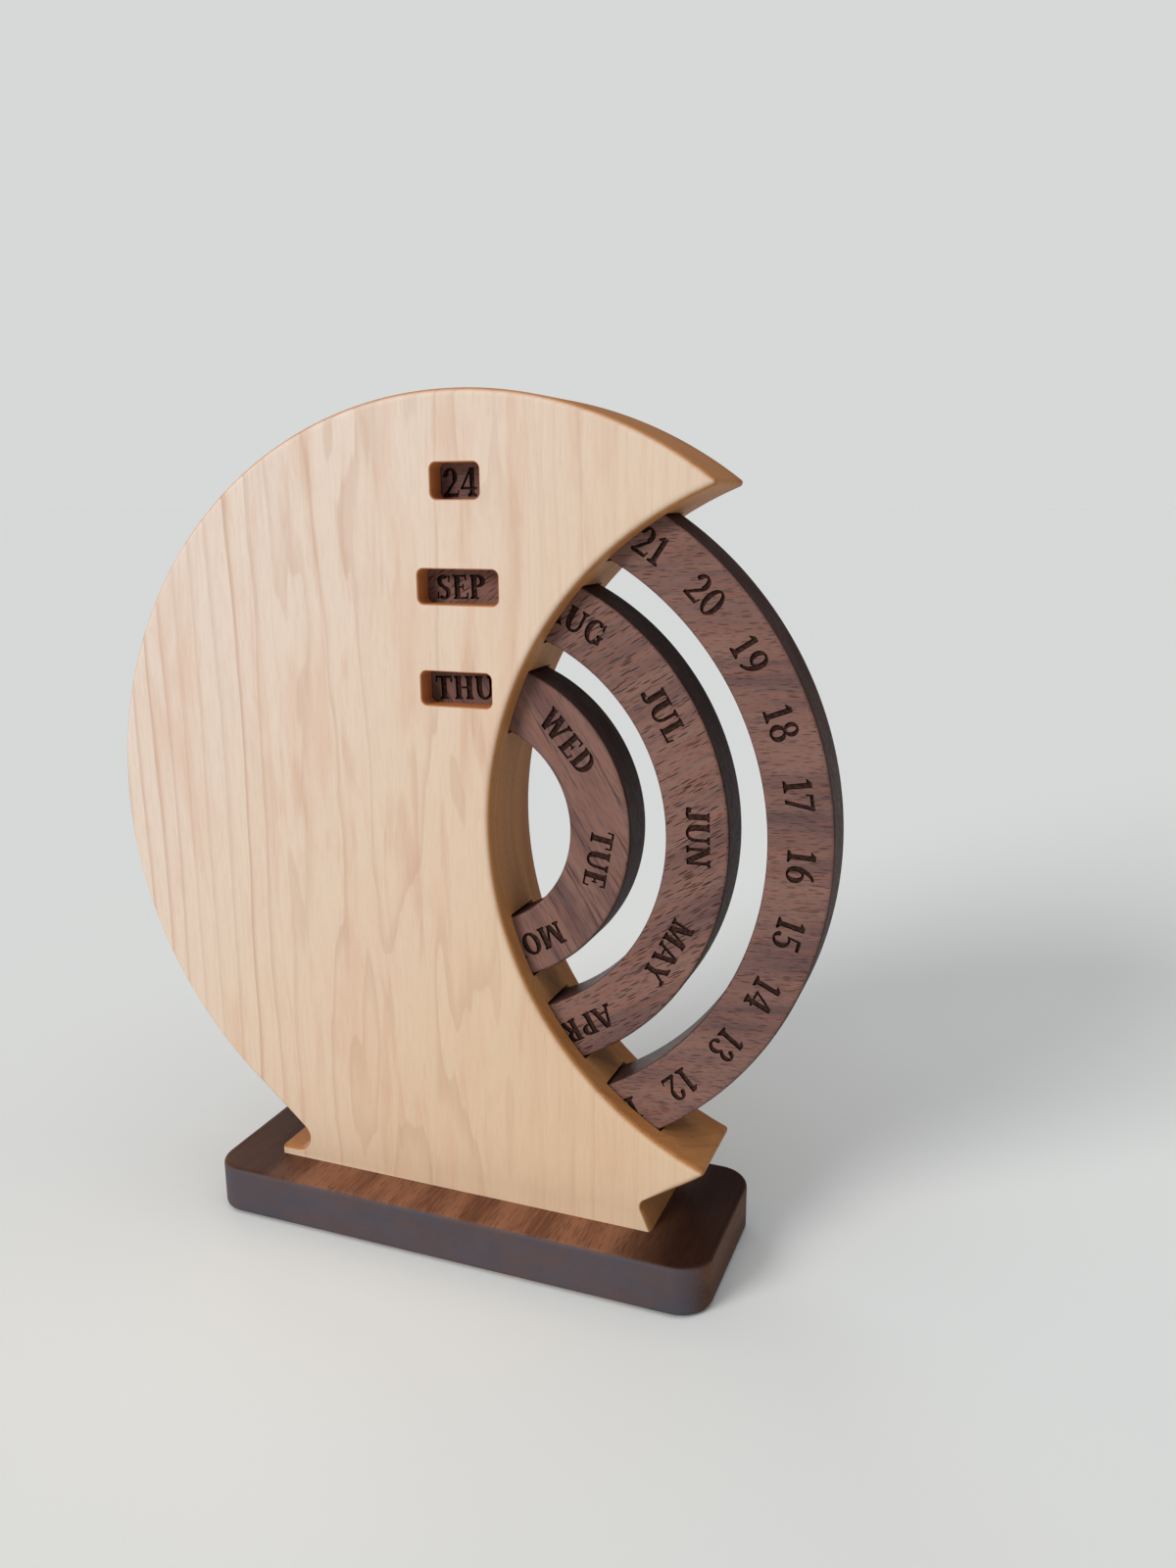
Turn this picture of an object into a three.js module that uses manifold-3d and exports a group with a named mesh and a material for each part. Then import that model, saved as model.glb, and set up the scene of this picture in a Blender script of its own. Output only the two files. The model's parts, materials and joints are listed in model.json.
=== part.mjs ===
// Perpetual desk calendar
//
// A crescent-shaped maple body stands on a walnut base. The body is glued up from three layers:
// a front panel with three sight windows, a middle layer that is cut into four pieces by three
// ring-shaped grooves, and a back panel. A walnut ring runs captive in each groove: dates on the
// outer one, months on the middle one, weekdays on the inner one. On the hollow side of the
// crescent the rings come out of slots, so that a finger can turn them.
//
// Millimetres, +Z up, front towards -Y. The origin is under the middle of the whole outline, on
// the surface that the calendar stands on. The pieces are built around the ring axis.

import * as THREE from 'three';
import { mergeVertices } from 'three/addons/utils/BufferGeometryUtils.js';
import Module from 'manifold-3d';

const wasm = await Module();
wasm.setup();

// Body outline
const body_radius = 100;
const hollow_radius = 84.6;
const waist_reach = 6.7;
const body_edge = 1.6;

// Body layers, front to back
const front_thickness = 5.2;
const ring_thickness = 12;
const axial_clearance = 0.4;
const back_thickness = 6.5;

// Rings. They share the room between the core and the rim evenly.
const core_radius = 25;
const rim_width = 13;
const ring_gap = 8.5;
const ring_edge = 0.6;
const radial_clearance = 0.6;

// Sight windows
const window_height = 8;
const window_corner = 1.5;
const window_rise = 0.6;
const date_window_width = 12.2;
const date_window_shift = 0.3;
const month_window_width = 20.4;
const month_window_shift = 0.3;
const weekday_window_width = 18.2;
const weekday_window_shift = -0.8;

// Foot of the body, with a cove on each side
const foot_rise = 2.8;
const lip_thickness = 2;
const lip_length = 4.8;
const left_cove_radius = 4;
const left_cove_flare = 1.5;
const right_cove_radius = 2.1;
const right_cove_flare = 0.4;
const right_cove_rise = 6.2;
const toe_lean = THREE.MathUtils.degToRad(24);
const foot_edge = 0.6;

// Base
const base_length = 137;
const base_depth = 48;
const base_thickness = 12.7;
const base_corner = 8.5;
const base_edge = 1.2;
const base_shift = 1;

// Screws that hold the base to the foot, from below
const screw_radius = 1.75;
const screw_head_radius = 3.6;
const screw_head_depth = 2.2;
const screw_head_rim = 0.4;
const screw_sink = 1;
const screw_tip = 3.5;
const screw_tip_radius = 0.4;
const screw_gap = 0.3;
const screw_spread_share = 0.68;
const screw_bite_share = 0.78;

// Felt pads let into the base's underside
const pad_radius = 5;
const pad_thickness = 1.2;
const pad_proud = 0.5;
const pad_gap = 0.3;
const pad_inset = 14;

// A cutter runs this far past what it cuts
const overrun = 2;

// Facets
const body_steps = 72;
const hollow_steps = 48;
const tail_steps = 3;
const cove_steps = 8;
const corner_steps = 6;
const edge_steps = 3;
const ring_steps = 96;
const ring_edge_steps = 1;
const round_steps = 24;

// Places that follow from the sizes, seen from the ring axis
const hollow_x = waist_reach + hollow_radius;
const groove_depth = ring_thickness + 2 * axial_clearance;
const body_depth = front_thickness + groove_depth + back_thickness;
const layer_front = body_depth / 2 - front_thickness;
const layer_back = back_thickness - body_depth / 2;
const foot_bottom = foot_rise - body_radius;
const base_bottom = foot_bottom - base_thickness;

const left_cove = coveBesideBody(-1, left_cove_radius, left_cove_flare,
  foot_bottom + lip_thickness + left_cove_radius);
const right_cove = coveBesideBody(1, right_cove_radius, right_cove_flare,
  foot_bottom + right_cove_rise);
const foot_left = left_cove.x - lip_length;
const foot_right = toeCorner();
const foot_middle = (foot_left + foot_right) / 2;
const base_middle = foot_middle + base_shift;

const ring_names = ['date_ring', 'month_ring', 'weekday_ring'];
const gap_total = (ring_names.length - 1) * ring_gap;
const ring_width = (body_radius - rim_width - core_radius - gap_total) / ring_names.length;
const rings = ring_names.map((name, place) => {
  const outer = body_radius - rim_width - place * (ring_width + ring_gap);
  return { name, outer, inner: outer - ring_width, middle: outer - ring_width / 2 };
});

// Where the ring axis lies in the part's own frame
const axis_x = (body_radius - rings[0].outer) / 2;
const axis_height = pad_proud - base_bottom;

// A cove is a round bite beside the body's circle. Its circle clears the body's circle by the
// flare, and a straight line that touches both joins them.
function coveBesideBody(side, radius, flare, z) {
  const distance = body_radius + radius + flare;
  const x = side * Math.sqrt(distance ** 2 - z ** 2);
  const swing = Math.acos((body_radius + radius) / distance);
  const touch = Math.atan2(z, x) + side * swing;
  return { x, z, radius, touch };
}

// The right end of the foot leans outwards from its cove down to the base.
function toeCorner() {
  const start_x = right_cove.x - right_cove.radius * Math.cos(toe_lean);
  const start_z = right_cove.z - right_cove.radius * Math.sin(toe_lean);
  return start_x + (start_z - foot_bottom) * Math.tan(toe_lean);
}

function addArc(points, x, z, radius, from, to, steps) {
  for (let step = 0; step <= steps; step += 1) {
    const angle = from + (to - from) * step / steps;
    points.push(new THREE.Vector2(x + radius * Math.cos(angle), z + radius * Math.sin(angle)));
  }
}

// The crescent seen from the front, anticlockwise from its upper tip: round the body's circle,
// down the left flare and cove, along the foot, up the right cove and back along the hollow.
// The inset draws the outline in for an eased edge, less so round the foot and not at all at its
// underside.
function crescentOutline(inset) {
  const foot_inset = inset * foot_edge / body_edge;
  const rim = body_radius - inset;
  const hollow = hollow_radius + inset;
  const tip_x = (rim ** 2 - hollow ** 2 + hollow_x ** 2) / (2 * hollow_x);
  const tip_z = Math.sqrt(rim ** 2 - tip_x ** 2);
  const tip = Math.atan2(tip_z, tip_x);
  const hollow_tip = Math.atan2(tip_z, tip_x - hollow_x);
  const full_turn = 2 * Math.PI;
  const points = [];
  addArc(points, 0, 0, rim, tip, left_cove.touch + full_turn, body_steps);
  addArc(points, left_cove.x, left_cove.z, left_cove.radius + foot_inset,
    left_cove.touch + Math.PI, -Math.PI / 2, cove_steps);
  points.push(new THREE.Vector2(foot_left + foot_inset, foot_bottom + lip_thickness - foot_inset));
  points.push(new THREE.Vector2(foot_left + foot_inset, foot_bottom));
  points.push(new THREE.Vector2(foot_right - foot_inset / Math.cos(toe_lean), foot_bottom));
  addArc(points, right_cove.x, right_cove.z, right_cove.radius + foot_inset,
    Math.PI + toe_lean, right_cove.touch + Math.PI, cove_steps);
  addArc(points, 0, 0, rim, right_cove.touch, -tip, tail_steps);
  const hollow_points = [];
  addArc(hollow_points, hollow_x, 0, hollow, full_turn - hollow_tip, hollow_tip, hollow_steps);
  points.push(...hollow_points.slice(1, -1));
  return points;
}

function roundedRectangle(x, y, length, width, corner, steps) {
  return (inset) => {
    const reach_x = length / 2 - corner;
    const reach_y = width / 2 - corner;
    const points = [];
    for (let quarter = 0; quarter < 4; quarter += 1) {
      const side_x = quarter === 0 || quarter === 3 ? 1 : -1;
      const side_y = quarter < 2 ? 1 : -1;
      const from = quarter * Math.PI / 2;
      addArc(points, x + side_x * reach_x, y + side_y * reach_y, corner - inset,
        from, from + Math.PI / 2, steps);
    }
    return points;
  };
}

// A slab is a stack of outlines from low to high. Where it has an edge radius, its outline draws
// in by a quarter round.
function slab(outlineAt, low, high, low_edge, high_edge) {
  const levels = [];
  const low_steps = low_edge > 0 ? edge_steps : 0;
  const high_steps = high_edge > 0 ? edge_steps : 0;
  for (let step = 0; step <= low_steps; step += 1) {
    const turn = low_steps ? Math.PI / 2 * step / low_steps : 0;
    levels.push([low_edge * (1 - Math.sin(turn)), low + low_edge * (1 - Math.cos(turn))]);
  }
  for (let step = 0; step <= high_steps; step += 1) {
    const turn = high_steps ? Math.PI / 2 * step / high_steps : 0;
    levels.push([high_edge * (1 - Math.cos(turn)), high - high_edge * (1 - Math.sin(turn))]);
  }
  const outlines = levels.map(([inset]) => outlineAt(inset));
  const count = outlines[0].length;
  const positions = [];
  outlines.forEach((outline, level) => {
    outline.forEach((point) => positions.push(point.x, point.y, levels[level][1]));
  });
  const triangles = [];
  for (let level = 0; level + 1 < levels.length; level += 1) {
    for (let place = 0; place < count; place += 1) {
      const here = level * count + place;
      const next = level * count + (place + 1) % count;
      triangles.push(here, next, next + count, here, next + count, here + count);
    }
  }
  const top = (levels.length - 1) * count;
  for (const [a, b, c] of THREE.ShapeUtils.triangulateShape(outlines[0], [])) {
    triangles.push(c, b, a);
  }
  for (const [a, b, c] of THREE.ShapeUtils.triangulateShape(outlines[levels.length - 1], [])) {
    triangles.push(top + a, top + b, top + c);
  }
  const geometry = new THREE.BufferGeometry();
  geometry.setAttribute('position', new THREE.Float32BufferAttribute(positions, 3));
  geometry.setIndex(triangles);
  return geometry;
}

// Turns a lying slab up on its edge: its height then runs to the front.
const stand_up = new THREE.Matrix4().set(
  1, 0, 0, 0,
  0, 0, -1, 0,
  0, 1, 0, 0,
  0, 0, 0, 1,
);

function layer(back, front, back_edge, front_edge) {
  return slab(crescentOutline, back, front, back_edge, front_edge).applyMatrix4(stand_up);
}

function solid(geometry) {
  const bare = geometry.clone();
  bare.deleteAttribute('normal');
  bare.deleteAttribute('uv');
  const merged = mergeVertices(bare);
  return new wasm.Manifold(new wasm.Mesh({
    numProp: 3,
    vertProperties: new Float32Array(merged.attributes.position.array),
    triVerts: new Uint32Array(merged.index.array),
  }));
}

function geometryOf(manifold) {
  const { vertProperties, triVerts } = manifold.getMesh();
  const geometry = new THREE.BufferGeometry();
  geometry.setAttribute('position', new THREE.BufferAttribute(vertProperties, 3));
  geometry.setIndex(new THREE.BufferAttribute(triVerts, 1));
  geometry.computeVertexNormals();
  return geometry;
}

// A round cutter on the ring axis, through the whole body
function coreCutter(radius) {
  return solid(new THREE.CylinderGeometry(radius, radius, body_depth + overrun, ring_steps));
}

// Body pieces

function frontPanel() {
  const widths = [date_window_width, month_window_width, weekday_window_width];
  const shifts = [date_window_shift, month_window_shift, weekday_window_shift];
  const front = body_depth / 2;
  let panel = solid(layer(layer_front, front, 0, body_edge));
  rings.forEach((ring, place) => {
    const opening = roundedRectangle(shifts[place], ring.middle + window_rise,
      widths[place], window_height, window_corner, corner_steps);
    const cutter = slab(opening, layer_front - overrun, front + overrun, 0, 0);
    panel = panel.subtract(solid(cutter.applyMatrix4(stand_up)));
  });
  return geometryOf(panel);
}

function backPanel() {
  return layer(-body_depth / 2, layer_back, body_edge, 0);
}

// The middle layer without the part inside one radius or outside another
function middlePiece(outside, inside) {
  let piece = solid(layer(layer_back, layer_front, 0, 0));
  if (inside) {
    piece = piece.subtract(coreCutter(inside));
  }
  if (outside) {
    piece = piece.intersect(coreCutter(outside));
  }
  return piece;
}

function grooveOuter(ring) {
  return ring.outer + radial_clearance;
}

function grooveInner(ring) {
  return ring.inner - radial_clearance;
}

function rimSpacer() {
  let rim = middlePiece(null, grooveOuter(rings[0]));
  for (const x of screw_places) {
    rim = rim.subtract(screwCutter(x));
  }
  return geometryOf(rim);
}

// A ring is turned from a rectangle with four eased corners. The profile runs once round.
function ringBody(ring) {
  const section = roundedRectangle(ring.middle, 0, ring_width, ring_thickness, ring_edge,
    ring_edge_steps);
  const profile = section(0);
  const closed = [...profile, profile[0].clone()];
  return new THREE.LatheGeometry(closed, ring_steps);
}

// Base pieces

const screw_places = [-1, 1].map((side) => (
  foot_middle + side * screw_spread_share * (foot_right - foot_left) / 2
));

// The wood over a screw reaches from the foot up to the date ring's groove.
function screwEnd(x) {
  const groove = -Math.sqrt(grooveOuter(rings[0]) ** 2 - x ** 2);
  return foot_bottom + screw_bite_share * (groove - foot_bottom);
}

// Half the section of a screw from its head up, grown all round by a gap
function screwProfile(x, gap) {
  const head = base_bottom + screw_sink;
  const start = gap > 0 ? base_bottom - overrun : head;
  const end = screwEnd(x) + gap;
  return [
    new THREE.Vector2(0, start),
    new THREE.Vector2(screw_head_radius + gap, start),
    new THREE.Vector2(screw_head_radius + gap, head + screw_head_rim),
    new THREE.Vector2(screw_radius + gap, head + screw_head_depth),
    new THREE.Vector2(screw_radius + gap, end - screw_tip),
    new THREE.Vector2(screw_tip_radius + gap, end),
    new THREE.Vector2(0, end),
  ];
}

function screwBody(x, gap) {
  const screw = new THREE.LatheGeometry(screwProfile(x, gap), round_steps);
  return screw.applyMatrix4(stand_up).translate(x, 0, 0);
}

function screwCutter(x) {
  return solid(screwBody(x, screw_gap));
}

const pad_places = [-1, 1].flatMap((side) => [-1, 1].map((end) => [
  base_middle + side * (base_length / 2 - pad_inset),
  end * (base_depth / 2 - pad_inset),
]));

function padDisc([x, y], radius, low, high) {
  const disc = new THREE.CylinderGeometry(radius, radius, 1, round_steps);
  disc.applyMatrix4(stand_up).translate(0, 0, 1 / 2).scale(1, 1, high - low);
  return disc.translate(x, y, low);
}

const pad_bottom = base_bottom - pad_proud;
const pad_top = pad_bottom + pad_thickness;

function basePlinth() {
  const outline = roundedRectangle(base_middle, 0, base_length, base_depth, base_corner,
    corner_steps);
  let plinth = solid(slab(outline, base_bottom, foot_bottom, base_edge, base_edge));
  for (const x of screw_places) {
    plinth = plinth.subtract(screwCutter(x));
  }
  for (const place of pad_places) {
    const socket = padDisc(place, pad_radius + pad_gap, pad_top - pad_thickness - overrun, pad_top);
    plinth = plinth.subtract(solid(socket));
  }
  return geometryOf(plinth);
}

// Finishes

const maple = { color: 0xdcc3a2, roughness: 0.55, metalness: 0 };
const walnut = { color: 0x6f5248, roughness: 0.6, metalness: 0 };
const dark_walnut = { color: 0x4d3328, roughness: 0.55, metalness: 0 };
const steel = { color: 0xb9bcbf, roughness: 0.35, metalness: 0.9 };
const felt = { color: 0x4b3b33, roughness: 0.95, metalness: 0 };

// Assembly

const calendar = new THREE.Group();
calendar.position.set(axis_x, 0, axis_height);

function addPiece(name, geometry, finish) {
  const mesh = new THREE.Mesh(geometry, new THREE.MeshStandardMaterial(finish));
  mesh.name = name;
  calendar.add(mesh);
}

addPiece('front_panel', frontPanel(), maple);
addPiece('rim_spacer', rimSpacer(), maple);
addPiece('outer_ridge',
  geometryOf(middlePiece(grooveInner(rings[0]), grooveOuter(rings[1]))), maple);
addPiece('inner_ridge',
  geometryOf(middlePiece(grooveInner(rings[1]), grooveOuter(rings[2]))), maple);
addPiece('hub_block', geometryOf(middlePiece(grooveInner(rings[2]), null)), maple);
addPiece('back_panel', backPanel(), maple);

// The rings run between the front panel and the back panel, off the body's middle plane.
const ring_plane = -(layer_front + layer_back) / 2;
for (const ring of rings) {
  addPiece(ring.name, ringBody(ring).translate(0, ring_plane, 0), walnut);
}

addPiece('base_plinth', basePlinth(), dark_walnut);
screw_places.forEach((x, place) => {
  addPiece(['base_screw_left', 'base_screw_right'][place], screwBody(x, 0), steel);
});
const pad_names = ['pad_left_front', 'pad_left_back', 'pad_right_front', 'pad_right_back'];
pad_places.forEach((place, index) => {
  addPiece(pad_names[index], padDisc(place, pad_radius, pad_bottom, pad_top), felt);
});

export default calendar;
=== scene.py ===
import json
from math import acos, asin, atan2, cos, pi, radians, sin, sqrt, tan

import bmesh
import bpy
import numpy as np
from mathutils import Matrix, Vector, geometry


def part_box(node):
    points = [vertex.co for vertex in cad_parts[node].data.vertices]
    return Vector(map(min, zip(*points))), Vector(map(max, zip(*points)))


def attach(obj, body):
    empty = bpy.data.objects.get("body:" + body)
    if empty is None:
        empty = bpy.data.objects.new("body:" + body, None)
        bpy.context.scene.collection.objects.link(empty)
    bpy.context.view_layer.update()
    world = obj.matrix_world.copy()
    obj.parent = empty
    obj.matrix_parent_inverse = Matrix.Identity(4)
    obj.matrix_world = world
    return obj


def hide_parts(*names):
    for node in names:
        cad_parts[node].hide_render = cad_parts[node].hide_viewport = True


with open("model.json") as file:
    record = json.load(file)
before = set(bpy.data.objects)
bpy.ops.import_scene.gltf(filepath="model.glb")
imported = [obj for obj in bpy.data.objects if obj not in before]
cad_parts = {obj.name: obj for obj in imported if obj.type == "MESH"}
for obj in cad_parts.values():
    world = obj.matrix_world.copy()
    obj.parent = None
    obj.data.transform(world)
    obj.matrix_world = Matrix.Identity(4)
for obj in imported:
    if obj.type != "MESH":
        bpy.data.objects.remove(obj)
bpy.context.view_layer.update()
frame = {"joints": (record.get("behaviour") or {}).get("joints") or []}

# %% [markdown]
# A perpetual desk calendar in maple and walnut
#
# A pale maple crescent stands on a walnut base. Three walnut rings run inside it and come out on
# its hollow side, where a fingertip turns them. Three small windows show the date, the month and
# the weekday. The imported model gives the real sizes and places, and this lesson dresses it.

mm = 0.001


def show(name, data):
    """A new object with this data, in the scene."""
    made = bpy.data.objects.new(name, data)
    bpy.context.scene.collection.objects.link(made)
    return made


# %% [markdown]
# The camera comes first. It stands close by, to the right and above, so the perspective is strong
# and the place of the lens matters more than its length. A constraint could aim it, but plain
# values can be fitted one by one: where it stands, where it looks and how far it leans.

# %% Camera
camera_place = Vector((134.54, -260.76, 186.40)) * mm
camera_aim = Vector((-0.35114, 0.90785, -0.22916))
camera_lean = radians(-0.28)
focal_pixels = 1235.6
photo_height = 1600
sensor_width = 36
nearest_seen = 10 * mm

camera = show("camera", bpy.data.cameras.new("camera"))
camera.data.sensor_fit = "AUTO"
camera.data.sensor_width = sensor_width
camera.data.lens = focal_pixels / photo_height * sensor_width
camera.data.clip_start = nearest_seen
camera_turn = camera_aim.to_track_quat("-Z", "Y").to_matrix() @ Matrix.Rotation(camera_lean, 3, "Z")
camera.matrix_world = Matrix.Translation(camera_place) @ camera_turn.to_4x4()
bpy.context.scene.camera = camera
print("The lens is", round(camera.data.lens, 2), "mm")

# %% [markdown]
# The crescent is glued up from three layers, and everything in it is laid out round the axis of
# the rings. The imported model's boxes give the planes between the layers and the radii, so they
# needn't be measured again. Only the rings' width, the hollow, the coves of the foot and the edges
# need numbers of their own.

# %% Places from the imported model
axis = Vector(frame["joints"][0]["pos_m"])
front_low, front_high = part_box("front_panel")
back_low, back_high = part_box("back_panel")
layer_planes = [front_low.y, front_high.y, back_low.y, back_high.y]
body_radius = axis.x - front_low.x
foot_bottom = front_low.z - axis.z
ring_names = ["date_ring", "month_ring", "weekday_ring"]
ring_boxes = [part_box(name) for name in ring_names]
ring_outer = [(high.x - low.x) / 2 for low, high in ring_boxes]
ring_front, ring_back = (corner.y for corner in ring_boxes[0])
print("Body radius", round(body_radius / mm, 2), "ring radii", [round(r / mm, 2) for r in ring_outer])

# %% Sizes that a box can't tell
ring_width = 15 * mm
ring_inner = [outer - ring_width for outer in ring_outer]
radial_clearance = 0.6 * mm
hollow_radius = 84.6 * mm
waist = 6.7 * mm
hollow_x = waist + hollow_radius
tip_radius, least_tip_radius = 0.9 * mm, 0.02 * mm
lip_thickness = 2 * mm
lip_length = 4.8 * mm
toe_lean = radians(24)
left_cove_radius, left_cove_flare, left_cove_rise = 4 * mm, 1.5 * mm, 6 * mm
right_cove_radius, right_cove_flare, right_cove_rise = 2.1 * mm, 0.4 * mm, 6.2 * mm
body_edge = 1.6 * mm
foot_edge_share = 0.4
fine_edge = 0.25 * mm
print("The hollow's centre lies", round(hollow_x / mm, 2), "mm to the right of the axis")

# %% How many steps each arc takes
tip_steps, rim_steps, cove_steps, toe_steps = 8, 300, 24, 16
hollow_steps, wall_steps, slot_steps = 240, 90, 12
groove_steps, ridge_steps, hub_steps, ring_steps = 240, 200, 120, 360
window_corner_steps, base_corner_steps = 10, 24
print("A step on the rim is", round(2 * pi * body_radius / rim_steps / mm, 2), "mm at most")

# %% [markdown]
# Every outline here is made of arcs and a few straight lines. Curve objects could draw them, but
# an arc that is worked out as one array of points is exact, and an outline is such arrays joined
# end to end. An outline takes an inset, so that a stack of outlines with a growing inset makes an
# eased edge.

# %% Arcs
def arc(centre, radius, start, end, steps):
    """The centre plus the radius times (cos, sin) of evenly spaced angles from start to end."""
    turn = np.linspace(start, end, steps + 1)
    return np.column_stack((centre[0] + radius * np.cos(turn), centre[1] + radius * np.sin(turn)))


def circle(centre, radius, steps=48):
    """An arc once round, without its last point, which is the first one again."""
    return arc(centre, radius, 0, 2 * pi, steps)[:-1]


def rounded_rectangle(centre, size, corner, inset, steps):
    """Four quarter arcs of the corner's radius less the inset. Their centres lie half the size,
    less the corner's radius, from the middle."""
    reach = [side / 2 - corner for side in size]
    quarter = pi / 2
    signs = [(1, 1), (-1, 1), (-1, -1), (1, -1)]
    return np.vstack([arc((centre[0] + x * reach[0], centre[1] + y * reach[1]), corner - inset,
                          n * quarter, (n + 1) * quarter, steps) for n, (x, y) in enumerate(signs)])

# %% The foot's coves, lip and toe
def cove(side, radius, flare, rise):
    """A cove's centre lies the body's radius plus its own plus the flare away from the axis. The
    line that touches both circles meets the body at the centre's angle, swung back by the angle
    whose cosine is the two radii over that distance."""
    distance = body_radius + radius + flare
    z = foot_bottom + rise
    x = side * sqrt(distance ** 2 - z ** 2)
    swing = acos((body_radius + radius) / distance)
    return (x, z), atan2(z, x) + side * swing


left_cove, left_touch = cove(-1, left_cove_radius, left_cove_flare, left_cove_rise)
right_cove, right_touch = cove(1, right_cove_radius, right_cove_flare, right_cove_rise)
foot_left = left_cove[0] - lip_length
toe_start = right_cove[1] - right_cove_radius * sin(toe_lean)
foot_right = (right_cove[0] - right_cove_radius * cos(toe_lean)
              + (toe_start - foot_bottom) * tan(toe_lean))
print("The foot runs from", round(foot_left / mm, 2), "to", round(foot_right / mm, 2), "mm")

# %% The crescent's outline
def hollow_arc(z_from, z_to, inset=0, steps=wall_steps):
    """The hollow's circle between two heights: its angle is pi less the arcsine of z / radius."""
    radius = hollow_radius + inset
    start, end = (pi - asin(z / radius) for z in (z_from, z_to))
    return arc((hollow_x, 0), radius, start, end, steps)


def crossing(outside, inside):
    """Where a circle round the axis crosses one round the hollow's centre: x is the difference of
    the squared radii plus hollow_x squared, over twice hollow_x."""
    x = (outside ** 2 - inside ** 2 + hollow_x ** 2) / (2 * hollow_x)
    return x, sqrt(outside ** 2 - x ** 2)


def tip(inset):
    """A tip's rounding touches the rim circle from inside and the hollow's from outside. So its
    centre is where those circles would cross with an inset larger by the rounding's radius. With
    it come that radius and the angles where the rounding meets the rim and the hollow."""
    rounding = max(tip_radius - inset, least_tip_radius)
    x, z = crossing(body_radius - inset - rounding, hollow_radius + inset + rounding)
    return (x, z), rounding, atan2(z, x), atan2(-z, hollow_x - x)


def outer_outline(inset=0):
    """The crescent without its hollow, anticlockwise from the upper tip to the lower one."""
    rim, foot_inset = body_radius - inset, inset * foot_edge_share
    (x, z), rounding, out, back = tip(inset)
    lip = foot_bottom + lip_thickness - foot_inset
    end = foot_left + foot_inset
    return np.vstack((
        arc((x, z), rounding, back, out, tip_steps)[:-1],
        arc((0, 0), rim, out, left_touch + 2 * pi, rim_steps),
        arc(left_cove, left_cove_radius + foot_inset, left_touch + pi, -pi / 2, cove_steps),
        [(end, lip), (end, foot_bottom)],
        [(foot_right - foot_inset / cos(toe_lean), foot_bottom)],
        arc(right_cove, right_cove_radius + foot_inset, pi + toe_lean,
            right_touch + pi, cove_steps),
        arc((0, 0), rim, right_touch, -out, toe_steps),
        arc((x, -z), rounding, -out, -back, tip_steps)[1:],
    ))


def crescent(inset=0):
    """The outer outline, closed by the hollow's arc from the lower tip to the upper one."""
    outer = outer_outline(inset)
    return np.vstack((outer, hollow_arc(outer[-1, 1], outer[0, 1], inset, hollow_steps)[1:-1]))


def meeting(radius):
    """The height at which a circle round the axis crosses the hollow, and the angle from +X."""
    x, z = crossing(radius, hollow_radius)
    return z, acos(x / radius)


print("The crescent's outline has", len(crescent()), "points")

# %% [markdown]
# Booleans could cut these solids from blocks, but they leave thin triangles that shade badly. So
# the solids are sewn from patches. A strip joins outlines of equal length by rows of four-sided
# faces. A fill is the flat region inside one outline and outside others, cut into triangles.
# Patches that share an edge have the same points there, so merging doubles closes the solid.

# %% Places in space, and strips
def upright(points, y):
    """Outline points (x, z) from the ring axis as points in space on the plane y."""
    return np.column_stack((points[:, 0] + axis.x, np.full(len(points), y), points[:, 1] + axis.z))


def lying(points, z):
    """Outline points (x, y) as points in space at height z."""
    return np.column_stack((points, np.full(len(points), z)))


def strip(loops, finish=0):
    """Point j of loop i joins points j and j + 1 of loops i and i + 1 in one face, all round."""
    rows, count = len(loops), len(loops[0])
    i, j = np.meshgrid(np.arange(rows - 1), np.arange(count), indexing="ij")
    k = (j + 1) % count
    faces = np.stack((i * count + j, i * count + k, (i + 1) * count + k, (i + 1) * count + j), -1)
    return np.vstack(loops), faces.reshape(-1, 4), finish

# %% Flat faces
def triangles_of(loops):
    """The plane cut into triangles along all loops, worked out in millimetres, and for each
    triangle the loops that it lies in."""
    ends = np.cumsum([0] + [len(loop) for loop in loops])
    corners = [Vector(point) for loop in loops for point in loop / mm]
    outlines = [list(range(start, end)) for start, end in zip(ends, ends[1:])]
    inside_only, nearness = 1, 1e-5
    found = geometry.delaunay_2d_cdt(corners, [], outlines, inside_only, nearness)
    return np.array(found[0]) * mm, np.array(found[2]), [set(inside) for inside in found[5]]


def fill(placing, level, outer, *inner):
    """The triangles that lie in the outer loop and in no inner one, placed upright or lying."""
    points, triangles, inside = triangles_of([outer, *inner])
    kept = np.array([loops == {0} for loops in inside])
    return placing(points, level), triangles[kept], 0

# %% Eased edges and blocks
def eased(low, high, low_edge, high_edge, steps=7, support=0.25 * mm):
    """Levels from low to high as (inset, place). An edge of radius r turns by t from the wall,
    with inset r (1 - cos t) and place r (1 - sin t) short of the face. One more level on the wall
    and one on the face, each a little past the edge, keep the shading of both flat."""
    levels = []
    for face, edge, side in ((low, low_edge, 1), (high, high_edge, -1)):
        turn = np.linspace(0, pi / 2, steps + 1)
        run = [(edge * (1 - cos(t)), face + side * edge * (1 - sin(t))) for t in turn]
        run = [(0, face + side * (edge + support))] + run + [(edge + support, face)]
        run = run if edge > 0 else [(0, face)]
        levels += run[::-1] if side > 0 else run
    return levels


def block(placing, outline, levels, low_holes=(), high_holes=()):
    """The patches of a block: its outline as a stack of (inset, place) levels, closed by a flat
    face at each end that leaves the holes out."""
    (first, low), (last, high) = levels[0], levels[-1]
    return [strip([placing(outline(inset), place) for inset, place in levels]),
            fill(placing, low, outline(first), *low_holes),
            fill(placing, high, outline(last), *high_holes)]

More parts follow.
